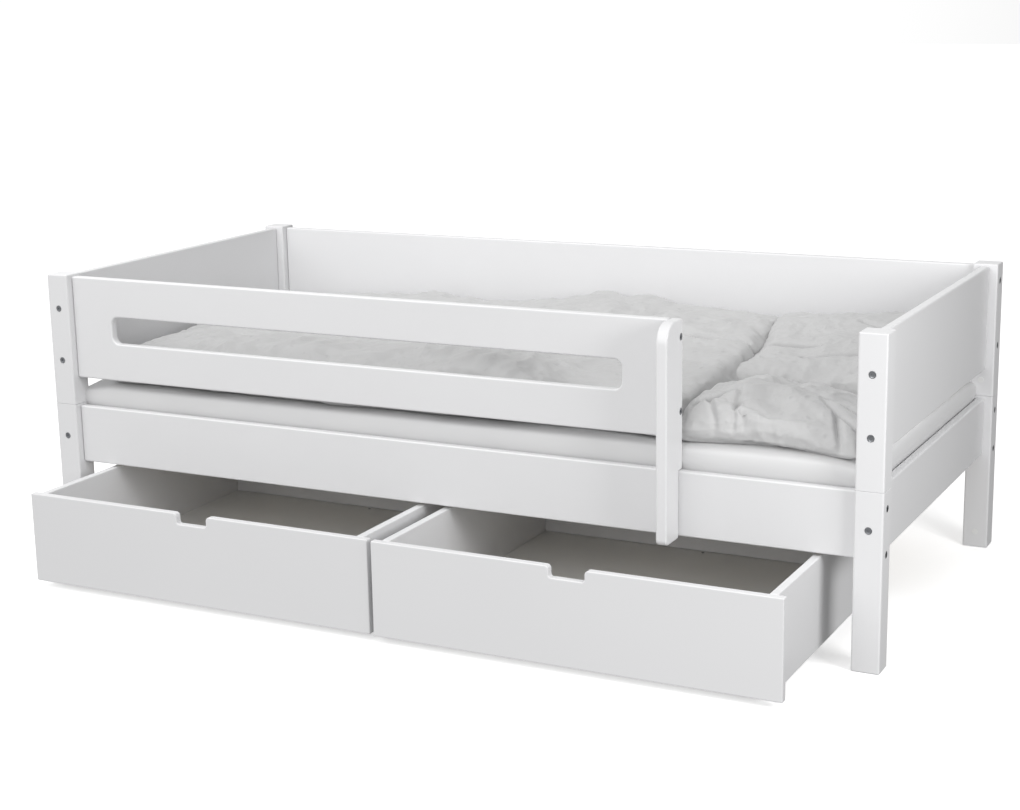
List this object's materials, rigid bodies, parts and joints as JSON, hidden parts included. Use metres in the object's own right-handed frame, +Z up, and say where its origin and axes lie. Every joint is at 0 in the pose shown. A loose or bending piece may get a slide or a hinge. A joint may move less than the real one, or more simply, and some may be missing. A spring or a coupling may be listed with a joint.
{
  "type": "toddler bed",
  "caption": "Low single bed with guard panels on three sides, a slotted front guard rail beside an entry gap, and two roll-out underbed drawers.",
  "frame": {"origin": "on the floor, at the centre of the overall box with the drawers as stored (part open)", "axes": "+X along the bed to the head (pillow) end, +Y to the closed long side that stands at a wall, +Z up"},
  "size_m": [2.08, 1.245, 0.7],
  "materials": {
    "white_lacquer": "white satin lacquer over smooth board",
    "birch": "sanded, clear sealed",
    "drawer_floor_white": "white coated hardboard",
    "cotton_sheet": "smooth white cotton",
    "duvet_cotton": "light grey washed cotton, creased",
    "bolt_steel": "zinc plated",
    "castor_grey": "moulded",
    "castor_black": "moulded tread"
  },
  "bodies": {
    "frame": {"back_panel": "white_lacquer", "bolt_entry_bar_1": "bolt_steel", "bolt_entry_bar_2": "bolt_steel", "bolt_front_left_face_1": "bolt_steel", "bolt_front_left_face_2": "bolt_steel", "bolt_front_left_face_3": "bolt_steel", "bolt_front_right_edge_1": "bolt_steel", "bolt_front_right_edge_2": "bolt_steel", "bolt_front_right_face_1": "bolt_steel", "bolt_front_right_face_2": "bolt_steel", "bolt_front_right_face_3": "bolt_steel", "duvet": "duvet_cotton", "end_panel_left": "white_lacquer", "end_panel_right": "white_lacquer", "end_rail_left": "white_lacquer", "end_rail_right": "white_lacquer", "entry_bar": "white_lacquer", "lower_post_back_left": "white_lacquer", "lower_post_back_right": "white_lacquer", "lower_post_front_left": "white_lacquer", "lower_post_front_right": "white_lacquer", "mattress": "cotton_sheet", "pillow_front": "duvet_cotton", "pillow_rear": "duvet_cotton", "safety_rail": "white_lacquer", "side_rail_back": "white_lacquer", "side_rail_front": "white_lacquer", "slat_batten_back": "birch", "slat_batten_front": "birch", "slat_roll": "birch", "upper_post_back_left": "white_lacquer", "upper_post_back_right": "white_lacquer", "upper_post_front_left": "white_lacquer", "upper_post_front_right": "white_lacquer"},
    "drawer_left": {"castor_left_1_housing": "castor_grey", "castor_left_2_housing": "castor_grey", "castor_left_3_housing": "castor_grey", "castor_left_4_housing": "castor_grey", "drawer_front_left": "white_lacquer", "drawer_left_back": "white_lacquer", "drawer_left_floor": "drawer_floor_white", "drawer_left_side_left": "white_lacquer", "drawer_left_side_right": "white_lacquer"},
    "drawer_right": {"castor_right_1_housing": "castor_grey", "castor_right_2_housing": "castor_grey", "castor_right_3_housing": "castor_grey", "castor_right_4_housing": "castor_grey", "drawer_front_right": "white_lacquer", "drawer_right_back": "white_lacquer", "drawer_right_floor": "drawer_floor_white", "drawer_right_side_left": "white_lacquer", "drawer_right_side_right": "white_lacquer"},
    "wheel_left_1": {"castor_left_1_wheel": "castor_black"},
    "wheel_left_2": {"castor_left_2_wheel": "castor_black"},
    "wheel_left_3": {"castor_left_3_wheel": "castor_black"},
    "wheel_left_4": {"castor_left_4_wheel": "castor_black"},
    "wheel_right_1": {"castor_right_1_wheel": "castor_black"},
    "wheel_right_2": {"castor_right_2_wheel": "castor_black"},
    "wheel_right_3": {"castor_right_3_wheel": "castor_black"},
    "wheel_right_4": {"castor_right_4_wheel": "castor_black"}
  },
  "joints": [
    {"name": "drawer_left_slide", "type": "slide", "parent": "frame", "child": "drawer_left", "axis": [0, -1, 0], "range_m": [-0.269, 0.4]},
    {"name": "wheel_left_1_spin", "type": "hinge", "parent": "drawer_left", "child": "wheel_left_1", "pos_m": [-0.828, -0.5275, 0.014], "axis": [1, 0, 0], "continuous": true},
    {"name": "wheel_left_2_spin", "type": "hinge", "parent": "drawer_left", "child": "wheel_left_2", "pos_m": [-0.093, -0.5275, 0.014], "axis": [1, 0, 0], "continuous": true},
    {"name": "wheel_left_3_spin", "type": "hinge", "parent": "drawer_left", "child": "wheel_left_3", "pos_m": [-0.828, 0.0775, 0.014], "axis": [1, 0, 0], "continuous": true},
    {"name": "wheel_left_4_spin", "type": "hinge", "parent": "drawer_left", "child": "wheel_left_4", "pos_m": [-0.093, 0.0775, 0.014], "axis": [1, 0, 0], "continuous": true},
    {"name": "drawer_right_slide", "type": "slide", "parent": "frame", "child": "drawer_right", "axis": [0, -1, 0], "range_m": [-0.274, 0.4]},
    {"name": "wheel_right_1_spin", "type": "hinge", "parent": "drawer_right", "child": "wheel_right_1", "pos_m": [0.099, -0.5325, 0.014], "axis": [1, 0, 0], "continuous": true},
    {"name": "wheel_right_2_spin", "type": "hinge", "parent": "drawer_right", "child": "wheel_right_2", "pos_m": [0.834, -0.5325, 0.014], "axis": [1, 0, 0], "continuous": true},
    {"name": "wheel_right_3_spin", "type": "hinge", "parent": "drawer_right", "child": "wheel_right_3", "pos_m": [0.099, 0.0725, 0.014], "axis": [1, 0, 0], "continuous": true},
    {"name": "wheel_right_4_spin", "type": "hinge", "parent": "drawer_right", "child": "wheel_right_4", "pos_m": [0.834, 0.0725, 0.014], "axis": [1, 0, 0], "continuous": true}
  ],
  "couplings": [
    {"joint": "wheel_left_1_spin", "follows": "drawer_left_slide", "rad_per_m": 71.429},
    {"joint": "wheel_left_2_spin", "follows": "drawer_left_slide", "rad_per_m": 71.429},
    {"joint": "wheel_left_3_spin", "follows": "drawer_left_slide", "rad_per_m": 71.429},
    {"joint": "wheel_left_4_spin", "follows": "drawer_left_slide", "rad_per_m": 71.429},
    {"joint": "wheel_right_1_spin", "follows": "drawer_right_slide", "rad_per_m": 71.429},
    {"joint": "wheel_right_2_spin", "follows": "drawer_right_slide", "rad_per_m": 71.429},
    {"joint": "wheel_right_3_spin", "follows": "drawer_right_slide", "rad_per_m": 71.429},
    {"joint": "wheel_right_4_spin", "follows": "drawer_right_slide", "rad_per_m": 71.429}
  ]
}
